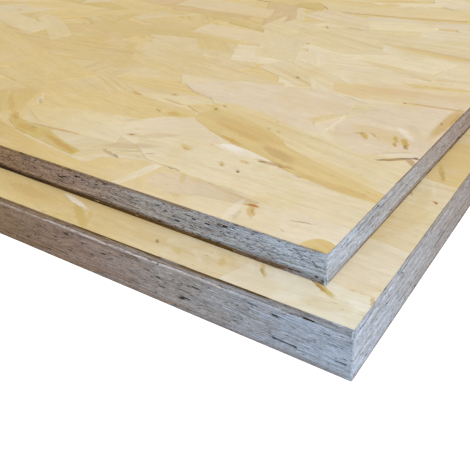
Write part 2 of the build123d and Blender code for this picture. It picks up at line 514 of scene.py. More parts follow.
def make_strand_wood(name, marks):
    """The strand wood, with the marks given as pairs of a mark and its sheet's frame."""
    material, tree, output = new_material(name)
    map_along = add(tree, "UVMap", {"uv_map": "grain"}).outputs[0]
    place = add(tree, "TexCoord").outputs["Object"]
    own_colour = add(tree, "Attribute", {"attribute_name": "strand_colour"}).outputs["Color"]
    along = wander(tree, map_along, FLOW_LENGTH, FLOW_WIDTH, FLOW_REACH)
    fibres = stretched_noise(tree, along, FIBRE_LENGTH, FIBRE_WIDTH, 3)
    bands = stretched_noise(tree, along, BAND_LENGTH, BAND_WIDTH, 3)
    swells = stretched_noise(tree, along, SWELL_LENGTH, SWELL_WIDTH, 2)
    mottles = stretched_noise(tree, along, MOTTLE_LENGTH, MOTTLE_WIDTH, 3, 0.7)
    flecks = stretched_noise(tree, along, FLECK_LENGTH, FLECK_WIDTH, 1)
    fleck_area = stretched_noise(tree, place, FLECK_AREA, FLECK_AREA, 2)
    stains = stretched_noise(tree, place, STAIN_SIZE, STAIN_SIZE, 3, 0.6)
    character = stretched_noise(tree, map_along, STRAND_CHANGE, STRAND_CHANGE, 0)

    # growth bands: darker, redder lines, strong in some strands only
    bands_there = (character, 0.42, 0.62, 0.08, 0.36)
    wood = mixed(tree, own_colour, WOOD["amber"], bands_there, (bands, 0.50, 0.74, 0, 1))
    wood = mixed(tree, wood, WOOD["pale"], (bands, 0.28, 0.44, 0.16, 0.0))
    wood = shaded(tree, wood, swells, 0.30, 0.70, 0.96, 1.035)
    wood = shaded(tree, wood, fibres, 0.30, 0.70, 0.955, 1.035)
    wood = shaded(tree, wood, mottles, 0.30, 0.70, 0.945, 1.045)
    # stains that cross strands, left by resin and handling
    wood = mixed(tree, wood, WOOD["honey"], (stains, 0.48, 0.70, 0.0, 0.38))
    wood = mixed(tree, wood, WOOD["blush"], (stains, 0.28, 0.46, 0.30, 0.0))
    # short dark flecks in patches
    flecks_there = (flecks, 0.66, 0.76, 0, 0.7)
    wood = mixed(tree, wood, WOOD["russet"], flecks_there, (fleck_area, 0.5, 0.62, 0, 1))
    # pin knots, each with a yellow-brown ring
    squeezed = add(tree, "Mapping", Vector=along, Scale=(1, 1.8, 1)).outputs[0]
    knots = add(tree, "TexVoronoi", Vector=squeezed, Scale=1 / PIN_SPACING)
    from_knot = knots.outputs["Distance"]
    wood = mixed(tree, wood, WOOD["amber"], (from_knot, 0.015, 0.055, 0.6, 0.0))
    wood = mixed(tree, wood, WOOD["bark"], (from_knot, 0.008, 0.022, 0.75, 0.0))

    if marks:
        # the marks' outlines are torn a little, as fibres are
        torn = stretched_noise(tree, place, TEAR_SIZE, TEAR_SIZE, 2)
        torn = mapped(tree, (torn, 0.0, 1.0, -TEAR_REACH, TEAR_REACH))
        torn = add(tree, "CombineXYZ", X=torn, Y=torn).outputs[0]
        near = add(tree, "VectorMath", {"operation": "ADD"}, input_0=place, input_1=torn)
        for mark, sheet_frame in marks:
            wood = add_mark(tree, wood, near.outputs[0], mark, sheet_frame)

    relief = add(tree, "Bump", Strength=0.6, Distance=FIBRE_RELIEF, Height=fibres)
    surface = add(
        tree,
        "BsdfPrincipled",
        Base_Color=wood,
        Roughness=mapped(tree, (fibres, 0.3, 0.7, 0.62, 0.52)),
        Normal=relief.outputs[0],
    )
    surface.inputs["IOR"].default_value = WOOD_IOR
    surface.inputs["Specular IOR Level"].default_value = 0.3
    tree.links.new(surface.outputs[0], output.inputs["Surface"])
    return material


strand_wood = make_strand_wood("pressed strand wood", [])
corner_marks = [(mark, UPPER_FRAME) for mark in UPPER_MARKS]
corner_marks += [(mark, LOWER_FRAME) for mark in LOWER_MARKS]
corner_wood = make_strand_wood("pressed strand wood by the near corner", corner_marks)
print("Materials:", strand_wood.name, "and", corner_wood.name)

# %% [markdown]
# ## Sealed sawn edge
# A saw cuts across the layers, so an edge shows thin strand ends stacked like the leaves of a book.
# Grey sealer is sprayed over them. It dries matt, fills the finest pores and leaves pits open. The
# pattern runs along the edge: short wavy streaks, and pits in painted shade, dark brown, that gather in
# places.

# %% Edge materials
STREAK_HEIGHT = 0.42 * MM
STREAK_LENGTH = 3.6 * MM
CRUMB_HEIGHT = 0.34 * MM
CRUMB_LENGTH = 0.9 * MM
PIT_HEIGHT = 0.45 * MM
PIT_LENGTH = 1.9 * MM
PIT_AREA = (14 * MM, 5 * MM)
BLOTCH_SIZE = (19 * MM, 6 * MM)
EDGE_FLOW = (9 * MM, 4 * MM, 1.7 * MM)
EDGE_RELIEF = 0.30 * MM
GRIT_SIZE = (6 * MM, 1.5 * MM)


def make_sealed_edge(name, pit_level, pit_spread):
    """Sealer on sawn strand ends. Pits, painted dark brown as shade, open where the noise passes
    pit_level, in areas that grow with pit_spread.
    """
    material, tree, output = new_material(name)
    map_along = add(tree, "UVMap", {"uv_map": "grain"}).outputs[0]
    own_colour = add(tree, "Attribute", {"attribute_name": "strand_colour"}).outputs["Color"]
    along = wander(tree, map_along, *EDGE_FLOW)
    streaks = stretched_noise(tree, along, STREAK_LENGTH, STREAK_HEIGHT, 4, 0.6)
    crumbs = stretched_noise(tree, along, CRUMB_LENGTH, CRUMB_HEIGHT, 2, 0.6)
    pits = stretched_noise(tree, along, PIT_LENGTH, PIT_HEIGHT, 2, 0.5)
    pit_area = stretched_noise(tree, map_along, *PIT_AREA, 2)
    blotches = stretched_noise(tree, map_along, *BLOTCH_SIZE, 3, 0.6)
    coat = shaded(tree, own_colour, streaks, 0.30, 0.70, 0.62, 1.32)
    coat = shaded(tree, coat, crumbs, 0.30, 0.70, 0.80, 1.18)
    coat = mixed(tree, coat, THIN_SEALER, (blotches, 0.50, 0.74, 0.0, 0.30))
    gathered = (pit_area, 0.42 - pit_spread, 0.58 - pit_spread, 0.1, 1)
    pit_depth = mapped(tree, gathered, (pits, pit_level, pit_level + 0.10, 0, 0.88))
    # the pits get painted shade: dark brown, as their depth would cast
    coat = mixed(tree, coat, PIT_SHADE_BROWN, (pit_depth, 0, 1, 0, 1))
    hollow = add(tree, "Math", {"operation": "SUBTRACT"}, input_0=streaks, input_1=pit_depth)
    relief = add(tree, "Bump", Strength=0.8, Distance=EDGE_RELIEF, Height=hollow.outputs[0])
    surface = add(
        tree,
        "BsdfPrincipled",
        Base_Color=coat,
        Roughness=0.8,
        Normal=relief.outputs[0],
    )
    surface.inputs["IOR"].default_value = WOOD_IOR
    surface.inputs["Specular IOR Level"].default_value = 0.25
    tree.links.new(surface.outputs[0], output.inputs["Surface"])
    return material


PLAIN_EDGE = make_sealed_edge("grey edge sealer on sawn strands", 0.60, 0.0)
PITTED_EDGE = make_sealed_edge("grey edge sealer on pitted sawn strands", 0.56, 0.06)

# the core's sides: dark brown with a little grit, painted shade inside the voids
shaded_void_wood, tree, output = new_material("wood inside the voids in painted shade")
place = add(tree, "TexCoord").outputs["Object"]
grit = stretched_noise(tree, place, *GRIT_SIZE, 3)
dark = add(tree, "RGB")
dark.outputs[0].default_value = (*VOID_WALL_SHADE, 1)
surface = add(
    tree,
    "BsdfPrincipled",
    Base_Color=shaded(tree, dark.outputs[0], grit, 0.3, 0.7, 0.6, 1.5),
    Roughness=0.9,
)
tree.links.new(surface.outputs[0], output.inputs["Surface"])
print("Materials:", PLAIN_EDGE.name, PITTED_EDGE.name, "and", shaded_void_wood.name)

# %% [markdown]
# ## Strand blanks
# A strand is a flat chip a hand long. Each blank is modelled once at its real size: a grid is cut
# slanting at its ends, its outline is bowed and roughened, and it is extruded to a thin chip whose rim
# slopes, as a pressed strand's does. Copies are then turned and mirrored, never stretched, so the rims
# keep their width.

# %% Model the strand blanks
CHIP_DEPTH = 0.50 * MM
CHIP_RIM = 0.60 * MM
ROUGHNESS = 0.055
BLANKS = [
    # length and width in millimetres, the two end slants in degrees, and the bow of the long sides
    (124, 24, 18, -30, 0.06),
    (104, 18, -38, 12, -0.10),
    (92, 29, 25, 22, 0.08),
    (134, 17, -12, 40, 0.10),
    (76, 14, 35, -20, -0.08),
    (66, 22, -8, -42, 0.12),
    (112, 31, 14, 34, -0.05),
    (58, 9, 48, 50, 0.10),
    (128, 13, -50, -14, 0.16),
    (86, 20, 8, -26, 0.05),
    (98, 12, 30, -55, 0.14),
    (140, 27, -20, 16, 0.04),
    (46, 7, 20, -60, 0.10),
    (118, 21, 44, 8, -0.08),
]


def chip_shape(chip, depth, rim):
    """Extrudes the flat n-gon in edit mode, slopes its rim, and gives back its points and faces."""
    bpy.ops.mesh.select_all(action="SELECT")
    bpy.ops.mesh.extrude_region_move(TRANSFORM_OT_translate={"value": (0, 0, depth)})
    length, width, _ = chip.dimensions
    bpy.ops.transform.resize(value=(1 - 2 * rim / length, 1 - 2 * rim / width, 1))
    bpy.ops.mesh.select_all(action="SELECT")
    bpy.ops.mesh.normals_make_consistent(inside=False)
    bpy.ops.object.mode_set(mode="OBJECT")
    points = np.array([v.co for v in chip.data.vertices])
    points[:, 2] -= points[:, 2].max()
    faces = [list(face.vertices) for face in chip.data.polygons]
    bpy.data.objects.remove(chip, do_unlink=True)
    return points, faces


def strand_blank(number, length, width, left_slant, right_slant, bow):
    """One chip at the origin, with its top at z = 0."""
    bpy.ops.object.select_all(action="DESELECT")
    bpy.ops.mesh.primitive_grid_add(x_subdivisions=5, y_subdivisions=2, size=1)
    chip = bpy.context.object
    chip.name = f"blank_{number}"
    bpy.ops.transform.resize(value=(length, width, 1))
    bpy.ops.object.transform_apply(location=True, rotation=True, scale=True)
    bpy.ops.object.mode_set(mode="EDIT")
    reach = math.tan(math.radians(max(abs(left_slant), abs(right_slant)))) * width / 2
    for side, slant in ((-1, left_slant), (1, right_slant)):
        cut = (side * (length / 2 - min(reach, length / 4)), 0, 0)
        normal = (side * math.cos(math.radians(slant)), math.sin(math.radians(slant)), 0)
        bpy.ops.mesh.select_all(action="SELECT")
        bpy.ops.mesh.bisect(plane_co=cut, plane_no=normal, clear_outer=True)
    bpy.ops.mesh.select_all(action="SELECT")
    bpy.ops.mesh.dissolve_faces()
    bpy.ops.transform.vertex_random(offset=ROUGHNESS * width, seed=number)
    bpy.ops.transform.resize(value=(1, 1, 0))
    bpy.ops.object.mode_set(mode="OBJECT")
    for vertex in chip.data.vertices:
        vertex.co.y += bow * width * (1 - (2 * vertex.co.x / length) ** 2)
        vertex.co.z = 0
    bpy.ops.object.mode_set(mode="EDIT")
    return chip_shape(chip, CHIP_DEPTH, CHIP_RIM)


blanks = [
    strand_blank(i, length * MM, width * MM, left, right, bow)
    for i, (length, width, left, right, bow) in enumerate(BLANKS)
]
print("Blanks:", len(blanks), "with faces:", [len(faces) for _, faces in blanks])

# %% [markdown]
# ## Joining thousands of small pieces
# Many copies become one mesh at once, because Blender is slow with thousands of objects. This helper
# collects points, faces, grain coordinates and colours, moves them from the sheet's own frame to their
# place, and makes one object of them.


# %% A joiner for many chips
class Pile:
    """Collects chips in a sheet's own frame and makes one piece of them."""

    def __init__(self):
        self.points, self.faces, self.grain, self.colours = [], [], [], []
        self.count = 0

    def lay(self, points, faces, grain, colours):
        """Adds one chip: its points, its faces, and for each point a grain coordinate and a colour."""
        self.points.append(points)
        self.faces.extend([[i + self.count for i in face] for face in faces])
        self.grain.append(grain)
        self.colours.append(colours)
        self.count += len(points)

    def make(self, name, placement, material, flip=False):
        """The piece, riding on the row's one body."""
        points = np.concatenate(self.points)
        turn = np.array(placement.to_3x3())
        placed = points @ turn.T + np.array(placement.translation)
        faces = [face[::-1] for face in self.faces] if flip else self.faces
        mesh = bpy.data.meshes.new(name)
        mesh.from_pydata(placed.tolist(), [], faces)
        corners = np.empty(len(mesh.loops), np.int32)
        mesh.loops.foreach_get("vertex_index", corners)
        grain = np.concatenate(self.grain)[corners].astype(np.float32)
        mesh.uv_layers.new(name="grain").uv.foreach_set("vector", grain.ravel())
        colour = mesh.attributes.new("strand_colour", "FLOAT_COLOR", "POINT")
        rgba = np.ones((len(points), 4), np.float32)
        rgba[:, :3] = np.concatenate(self.colours)
        colour.data.foreach_set("color", rgba.ravel())
        mesh.materials.append(material)
        mesh.update()
        piece = bpy.data.objects.new(name, mesh)
        bpy.context.scene.collection.objects.link(piece)
        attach(piece, "root")
        print(name, "triangles:", sum(len(face) - 2 for face in faces))


TURNED_OVER = Matrix.Translation((0, WIDTH, 0)) @ Matrix.Rotation(math.pi, 4, "X")
print("A sheet turned over keeps its x and swaps its long sides")

# %% [markdown]
# ## The random strands of a face
# The mill lays the face strands roughly along the sheet. A jittered grid spreads their middles evenly,
# and each takes a blank, an angle, a depth and a colour from a seeded generator. Most angles follow a
# bell curve about the sheet's length, and a few strands lie at any angle. Strands that cross the
# sheet's outline are cut off there by the saw: their points are held to it. A strand that lies wholly
# under others is left out again, which is found on a grid of small cells, from the top down.

# %% Strand laying
STRANDS_PER_FACE = 4300
ANGLE_SPREAD = math.radians(20)
STRAY_SHARE = 0.12
MOST_DROP = 0.24 * MM
TILT_ALONG = 0.0014
TILT_ACROSS = 0.004
PAINTED_RIM_SHADE = 0.90
DARKEST_TONE = 0.95
TONE_SPREAD = 0.10
MAP_SPREAD = (7, 5)
CELL = 4 * MM
COVERED_SHARE = 0.9
MIX = {
    "cream": 0.24,
    "straw": 0.26,
    "blush": 0.15,
    "honey": 0.14,
    "tan": 0.09,
    "olive": 0.06,
    "pale": 0.06,
}


def face_strands(seed, thickness, inset, wanted, local):
    """Chips for a face in the sheet's frame, as a list of (top, middle, turn, half size, chip)."""
    chance = np.random.default_rng(seed)
    across = math.sqrt(STRANDS_PER_FACE * WIDTH / LENGTH)
    rows, columns = round(across), round(STRANDS_PER_FACE / across)
    names, shares = list(MIX), np.cumsum(list(MIX.values()))
    laid = []
    for place in range(rows * columns):
        row, column = divmod(place, columns)
        draws = chance.random(12)
        left = -LENGTH * (column + draws[0]) / columns
        middle = np.array([left, WIDTH * (row + draws[1]) / rows])
        if not wanted(middle):
            continue
        # a blank, perhaps mirrored, turned and moved into place, and cut off by the saw
        points, faces = blanks[int(draws[2] * len(blanks))]
        mirror = 1 if draws[3] < 0.5 else -1
        spread = math.sqrt(-2 * math.log(max(draws[4], 1e-6))) * math.cos(2 * math.pi * draws[5])
        angle = math.pi * draws[6] if draws[7] < STRAY_SHARE else ANGLE_SPREAD * spread
        turn = np.array([[math.cos(angle), -math.sin(angle)], [math.sin(angle), math.cos(angle)]])
        flat = points[:, :2] * (1, mirror) @ turn.T + middle
        flat[:, 0] = flat[:, 0].clip(-LENGTH + inset, -inset)
        flat[:, 1] = flat[:, 1].clip(inset, WIDTH - inset)
        # its height, a little tilted
        own = (flat - middle) @ turn
        tilt = own @ ((draws[8] - 0.5) * 2 * TILT_ALONG, (draws[9] - 0.5) * 2 * TILT_ACROSS)
        share, tone, below = local(middle)
        drop = draws[10] * MOST_DROP + below
        height = thickness - np.abs(tilt).max() - drop + tilt + points[:, 2]
        # its colour, with painted shade on the sloping rim between strands
        colour = WOOD[names[min(int(np.searchsorted(shares, draws[11])), len(names) - 1)]]
        colour = colour + (tone - colour) * share
        shades = np.where(points[:, 2] < -CHIP_DEPTH / 2, PAINTED_RIM_SHADE, 1.0)[:, None]
        colours = colour * shades * (DARKEST_TONE + TONE_SPREAD * draws[5])
        grain = own + (draws[2] * MAP_SPREAD[0], draws[8] * MAP_SPREAD[1])
        chip_faces = faces if mirror > 0 else [face[::-1] for face in faces]
        chip = (np.c_[flat, height], chip_faces, grain, colours)
        laid.append((height.max(), middle, turn, np.abs(own).max(axis=0), chip))
    return laid


def without_hidden(laid):
    """The strands that can be seen, from the top down."""
    covered = np.zeros((int(LENGTH / CELL) + 2, int(WIDTH / CELL) + 2), bool)
    kept = []
    for strand in sorted(laid, key=lambda item: -item[0]):
        _, middle, turn, half, _ = strand
        steps = [np.linspace(-h, h, max(2, int(2 * h / CELL) + 1)) * COVERED_SHARE for h in half]
        spots = np.stack(np.meshgrid(*steps), axis=-1).reshape(-1, 2) @ turn.T + middle
        x, y = spots.T
        inside = (x > -LENGTH) & (x < 0) & (y > 0) & (y < WIDTH)
        cells = (spots[inside] * (-1, 1) / CELL).astype(int)
        if not covered[cells[:, 0], cells[:, 1]].all():
            kept.append(strand)
            covered[cells[:, 0], cells[:, 1]] = True
    print("strands laid:", len(laid), "seen:", len(kept))
    return kept


# %% [markdown]
# The exported model gives each piece one image, so a face is shared among strips that run the sheet's
# whole length: each strip then gets an image of its own and the strands stay sharp. A strip is only a
# way of sorting strands, and the strands of neighbouring strips still lie across each other.

# %% Make the two outer faces
STRIPS = 6
SHOWN_LENGTH = 230 * MM
SHOWN_WIDTH = 165 * MM
LAID_TOP = 0.16 * MM
MAIN_INSET = 0.24 * MM
BAND_INSET = 0.60 * MM
WARM_FROM = 60
WARM_OVER = 130
LEAST_PULL = 0.30
MOST_PULL = 0.80


def near_tone(middle):
    """By the near corner strands are pulled towards one tone: cream, and further left honey."""
    warmth = min(1, max(0, -middle[0] / MM - WARM_FROM) / WARM_OVER)
    tone = WOOD["cream"] + (WOOD["honey"] - WOOD["cream"]) * warmth
    far = math.hypot(middle[0] / SHOWN_LENGTH, middle[1] / SHOWN_WIDTH)
    return min(MOST_PULL, max(LEAST_PULL, 1.30 - 0.5 * far)), tone


def by_corner(middle):
    """The tone of a strand, and how far it lies below those that are laid one by one."""
    laid_over = middle[0] > -SHOWN_LENGTH and middle[1] < SHOWN_WIDTH
    return *near_tone(middle), LAID_TOP if laid_over else 0.0


def evenly(middle):
    """A light pull towards one tone everywhere."""
    return LEAST_PULL, WOOD["straw"], 0.0


def make_face(name, laid, placement, strips, near_material):
    """The face's strands as one piece for each strip, the first one in the near corner's material."""
    kept = without_hidden(laid)
    for strip in range(strips):
        pile = Pile()
        for _, middle, _, _, chip in kept:
            if min(int(middle[1] / WIDTH * strips), strips - 1) == strip:
                pile.lay(*chip)
        label = f"{name}_{strip + 1}" if strips > 1 else name
        pile.make(label, placement, near_material if strip == 0 else strand_wood)


upper_top = face_strands(11, UPPER_THICKNESS, MAIN_INSET, lambda middle: True, by_corner)
make_face("upper_top_strands", upper_top, UPPER_FRAME, STRIPS, corner_wood)
lower_under = face_strands(23, 0.0, MAIN_INSET, lambda middle: True, evenly)
make_face("lower_underside_strands", lower_under, LOWER_FRAME @ TURNED_OVER, STRIPS, strand_wood)

# %% [markdown]
# ## The faces that lie against each other
# Where the sheets overlap nothing of these two faces shows, so only the strands near the margins are
# laid: those whose middle lies outside the other sheet's outline, or within a strand's reach of it.

# %% Make the margins
REACH = 70 * MM


def margin_only(own_frame, other_frame):
    """A test for middles that lie outside the other sheet's outline, moved in by a strand's reach."""
    to_other = other_frame.inverted() @ own_frame

    def wanted(middle):
        x, y, _ = to_other @ Vector((*middle, 0))
        return not (-LENGTH + REACH < x < -REACH and REACH < y < WIDTH - REACH)

    return wanted


on_lower = margin_only(LOWER_FRAME, UPPER_FRAME)
lower_top = face_strands(31, LOWER_THICKNESS, BAND_INSET, on_lower, by_corner)
make_face("lower_top_margin_strands", lower_top, LOWER_FRAME, 1, corner_wood)
upper_turned = UPPER_FRAME @ TURNED_OVER
on_upper = margin_only(upper_turned, LOWER_FRAME)
upper_under = face_strands(47, 0.0, BAND_INSET, on_upper, evenly)
make_face("upper_underside_margin_strands", upper_under, upper_turned, 1, strand_wood)

# %% [markdown]
# ## The cores
# Under the strands lies the rest of the sheet. It is a plain slab, a little smaller than the sheet all
# round, so that gaps between the strands and the voids in the sawn edges open onto something solid. Its
# sides are painted dark brown, as shade inside the voids. It stands for the CAD sheet, which is then
# not shown.

# %% Make the cores
FACE_DEPTH = 0.62 * MM
EDGE_DEPTH = 0.85 * MM
CORE_EASE = 0.3 * MM


def make_core(node):
    """A slab inset from the sheet's faces and edges, eased at its arrises."""
    thickness = THICKNESS[node]
    size = Vector((LENGTH - 2 * EDGE_DEPTH, WIDTH - 2 * EDGE_DEPTH, thickness - 2 * FACE_DEPTH))
    bpy.ops.object.select_all(action="DESELECT")
    bpy.ops.mesh.primitive_cube_add(size=1, location=(0, 0, 0))
    core = bpy.context.object
    core.name = f"{node}_core"
    bpy.ops.transform.resize(value=size)
    bpy.ops.object.transform_apply(location=True, rotation=True, scale=True)
    bpy.ops.object.mode_set(mode="EDIT")
    bpy.ops.mesh.select_all(action="SELECT")
    bpy.ops.mesh.bevel(offset=CORE_EASE, segments=2)
    bpy.ops.object.mode_set(mode="OBJECT")
    core.data.transform(FRAME_OF[node] @ Matrix.Translation((-LENGTH / 2, WIDTH / 2, thickness / 2)))
    # the sides get painted shade, the top and bottom strand wood
    core.data.materials.append(shaded_void_wood)
    core.data.materials.append(strand_wood)
    for face in core.data.polygons:
        face.material_index = 1 if abs(face.normal.z) > 0.9 else 0
    grain_map = core.data.uv_layers.active
    grain_map.name = "grain"
    for loop in core.data.loops:
        grain_map.uv[loop.index].vector = core.data.vertices[loop.vertex_index].co.xy
    colour = core.data.attributes.new("strand_colour", "FLOAT_COLOR", "POINT")
    for item in colour.data:
        item.color = (*WOOD["straw"], 1)
    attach(core, "root")
    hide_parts(node)
    print(core.name, [round(v / MM, 2) for v in size])


for node in THICKNESS:
    make_core(node)

# %% [markdown]
# ## The strands by the near corner
# The photograph shows this corner close up, so its largest strands are laid one by one, in the order in
# which they lie on each other. Each row gives two colours, at the strand's left and right ends, the
# grain's angle and the outline in millimetres: how far left of the near corner, and how far back from
# the near long side.

# %% Lay the strands of the upper sheet's near corner
LAID_RIM = 0.70 * MM
MAP_STEP = np.array([0.37, 0.91])
UPPER_LAID = [
    ("blush", "blush", 4, [
        (36, 92), (30, 106), (0, 116), (-2, 64), (8, 63), (20, 60), (34, 66), (39, 80),
    ]),
    ("straw", "blush", 6, [
        (62, 122), (30, 126), (-2, 128), (-2, 112), (25, 111), (44, 108), (58, 112),
    ]),
    ("blush", "blush", 8, [
        (124, 90), (100, 104), (60, 110), (42, 104), (38.6, 90), (39.6, 70), (46, 68), (62, 71),
        (94, 78), (112, 82),
    ]),
    ("straw", "cream", 14, [
        (104, 68), (88, 79), (76, 78), (58, 72), (30, 62), (0, 56), (-2, 36), (14, 40), (30, 44),
        (56, 54), (92, 62),
    ]),
    ("straw", "straw", 8, [
        (180, 56), (158, 62), (128, 68), (112, 66), (95, 64), (91, 56), (104, 48), (134, 42),
        (176, 34),
    ]),
    ("cream", "blush", -26, [
        (116, 40), (108, 50), (99, 57), (92, 59), (80, 52), (68, 45), (70, 40), (82, 30), (96, 26),
        (108, 30),
    ]),
    ("straw", "cream", 6, [
        (168, 34), (140, 44), (120, 46), (110, 38), (104, 24), (122, 23), (150, 24),
    ]),
    ("cream", "cream", 2, [
        (102, 36), (84, 42), (70, 42), (62, 39.6), (50, 38.8), (34, 36.4), (20, 33.4), (-2, 31.4),
        (-2, 13), (28, 14.5), (46, 16.8), (62, 17), (84, 19.4), (96, 27),
    ]),
    ("gold", "straw", 4, [
        (215, -2), (210, 16), (185, 20), (160, 16), (140, 11), (118, 8), (96, 5), (90, -2),
    ]),
    ("straw", "pale", -2, [
        (100, 13), (84, 19), (60, 18), (30, 15), (-2, 15), (-2, -2), (60, -2), (104, -2),
    ]),
    ("blush", "dun", 9, [
        (64, 17.2), (55, 17), (46, 16.6), (30, 14.4), (32, 11), (37, 9.6), (50, 7.6), (58, 3.2),
        (70, 5.5), (74, 9), (72, 14),
    ]),
    ("honey", "straw", 17, [
        (94, 60), (93, 66), (90, 70), (84, 69.4), (70, 66.5), (62, 64), (55, 60.5), (49, 56.6),
        (45, 52.8), (38, 50), (30, 46.9), (14, 41.6), (-2, 37), (-2, 30.4), (12, 31), (22, 32.6),
        (34, 36), (44, 40), (54, 43.4), (63, 44.8), (70, 47.4), (80, 51.4), (90, 56.2),
    ]),
    ("white", "pale", 12, [
        (70, 41), (66.5, 44), (63.5, 45), (58, 44.4), (52, 42.6), (42.5, 39.2), (50, 38.2),
        (62, 38.8),
    ]),
    ("cream", "pale", 78, [(74, 18.4), (78.4, 18.6), (81, 9), (83, -2), (79, -2), (76, 8)]),
    ("straw", "cream", 70, [(46, 74), (50.5, 78.5), (47, 85), (41, 91), (38.6, 88), (43, 80)]),
    ("straw", "honey", 20, [
        (9.8, -2), (9.2, 2.4), (7.6, 5), (5, 6.6), (2, 6.4), (-2, 5.4), (-2, -2),
    ]),
    ("olive", "olive", 12, [
        (109.5, 11.8), (110.4, 8.2), (117, 8.8), (130, 10.6), (140, 12.2), (152, 14.6), (162, 19),
        (168, 25.4), (162, 23.6), (150, 21), (137, 20.6), (131, 18), (120, 14.5),
    ]),
    ("olive", "honey", 40, [
        (198, 40), (186, 49), (176, 48), (170, 34), (165, 25), (172, 22), (184, 30),
    ]),
]


def laid_strand(number, outline):
    """A chip with the given outline, in millimetres left and back from the near corner."""
    bpy.ops.object.select_all(action="DESELECT")
    bpy.ops.mesh.primitive_circle_add(vertices=len(outline), radius=1, fill_type="NGON")
    chip = bpy.context.object
    chip.name = f"laid_{number}"
    for vertex, (left, back) in zip(chip.data.vertices, outline, strict=True):
        vertex.co = (-left * MM, back * MM, 0)
    bpy.ops.object.origin_set(type="ORIGIN_GEOMETRY", center="MEDIAN")
    middle = np.array(chip.location)
    bpy.ops.object.mode_set(mode="EDIT")
    points, faces = chip_shape(chip, CHIP_DEPTH, LAID_RIM)
    points[:, :2] += middle[:2]
    return points, faces


def lay_by_hand(name, rows, thickness, placement, inset):
    """One piece from rows of colours, grain angle and outline. Later rows lie on earlier ones."""
    pile = Pile()
    for number, (left_wood, right_wood, angle, outline) in enumerate(rows):
        points, faces = laid_strand(number, outline)
        points[:, 0] = points[:, 0].clip(-LENGTH + inset, -inset)
        points[:, 1] = points[:, 1].clip(inset, WIDTH - inset)
        drop = LAID_TOP * (1 - (number + 1) / len(rows))
        radians = -math.radians(angle)
        turn = np.array([
            [math.cos(radians), -math.sin(radians)],
            [math.sin(radians), math.cos(radians)],
        ])
        grain = points[:, :2] @ turn + MAP_STEP * number
        share = ((points[:, 0] - points[:, 0].min()) / np.ptp(points[:, 0]))[:, None]
        colour = WOOD[left_wood] * (1 - share) + WOOD[right_wood] * share
        pile.lay(points + (0, 0, thickness - drop), faces, grain, colour)
    pile.make(name, placement, corner_wood)


lay_by_hand("upper_corner_strands", UPPER_LAID, UPPER_THICKNESS, UPPER_FRAME, MAIN_INSET)

# %% [markdown]
# On the lower sheet only two narrow margins show beside the upper one, so the strands that are laid
# there one by one are fewer.

# %% Lay the strands of the lower sheet's near corner
LOWER_LAID = [
    ("straw", "straw", 3, [(132, -2), (96, -2), (93, 12), (98, 24), (134, 24)]),
    ("straw", "straw", 14, [(190, -2), (122, -2), (117, 6), (112, 14), (118, 24), (190, 24)]),
    ("straw", "cream", 3, [(100, -2), (54, -2), (50, 14), (60, 24), (104, 24)]),
    ("cream", "cream", -3, [(66, -2), (26, -2), (22, 12), (30, 24), (62, 22), (70, 10)]),
    ("cream", "cream", 1, [(24, 66), (-2, 62), (-2, 92), (24, 96)]),
    ("straw", "straw", 8, [(24, 88), (-2, 84), (-2, 120), (24, 124)]),
    ("straw", "cream", 2, [(24, 38), (-2, 35), (-2, 66), (24, 70)]),
    ("cream", "pale", 5, [(30, 12), (14, 10), (-2, 12), (-2, 40), (12, 42), (26, 40)]),
    ("pale", "mist", -2, [(44, -2), (-2, -2), (-2, 14), (20, 17), (40, 11)]),
]
lay_by_hand("lower_corner_strands", LOWER_LAID, LOWER_THICKNESS, LOWER_FRAME, BAND_INSET)

# %% [markdown]
# ## The sawn edges
# A sawn side is rows of strand ends, each a long thin lens with tapered tips. The rows wander as the
# mat was laid, and where two tips don't quite meet there is a void. Every lens is a small bar with a
# flat front, a sloping rim and a back. Strands that run along the side show their length, and strands
# that run across it show their ends, so those bars are shorter. Near one face the scoring blade cut a
# shallow band, which sits a little further in: at the lower sheet's top, and the upper sheet's bottom.
# The voids that the photograph shows are written as in the CAD sheets: the millimetres from the near
# corner, those above the sheet's middle, and the length.

# %% Voids in the sawn sides
SEEN_VOIDS = {
    ("lower_panel", "front"): [
        (7, 4.8, 1.6), (17, -4.8, 8.0), (57, -4.3, 2.0), (66, 0.2, 1.4), (70, 1.8, 2.6),
        (125, -3.6, 2.2),
    ],
    ("lower_panel", "right"): [
        (3, 1.4, 1.8), (33, 4.0, 1.6), (44, -6.4, 2.4), (50, 4.6, 3.0), (66, -0.8, 4.0),
    ],
    ("upper_panel", "front"): [
        (26, 1.9, 1.2), (31, 0.5, 1.4), (34, 3.1, 1.6), (38, -0.9, 2.2), (46, 1.5, 1.6),
        (53, -1.3, 1.4), (61, 2.7, 1.2), (98, 3.3, 2.4), (106, 0.9, 1.8),
    ],
    ("upper_panel", "right"): [(28, 1.7, 1.6), (74, -0.5, 2.0)],
}
VOID_SPACING = 110 * MM
VOIDS_BEGIN = 150 * MM
SHORTEST_VOID = 1.2 * MM
LONGEST_VOID = 3.6 * MM
VOID_LAYER = 0.6


def voids_of(node, side, side_length):
    """Where a sheet's voids open on one side: the distance along it, the height and the length."""
    thickness = THICKNESS[node]
    voids = [
        (along * MM, thickness / 2 + height * MM, length * MM)
        for along, height, length in SEEN_VOIDS.get((node, side), [])
    ]
    # the further voids, spread unevenly as in the CAD sheets
    begin = VOIDS_BEGIN if side in ("front", "right") else 0
    for number in range(1, int((side_length - begin) / VOID_SPACING)):
        along = begin + (number + 0.7 * (number * 0.618 % 1)) * VOID_SPACING
        height = thickness / 2 + (number * 0.382 % 1 - 0.5) * thickness * VOID_LAYER
        length = SHORTEST_VOID + (LONGEST_VOID - SHORTEST_VOID) * (number * 0.755 % 1)
        voids.append((along, height, length))
    return voids


print("Voids seen:", sum(len(voids) for voids in SEEN_VOIDS.values()))

# %% [markdown]
# The rows are counted from the scored face. Four thin ones make the band, and the fifth is the rim that
# the main saw left beside it. Rows wander by two waves of different length, but not at the faces.

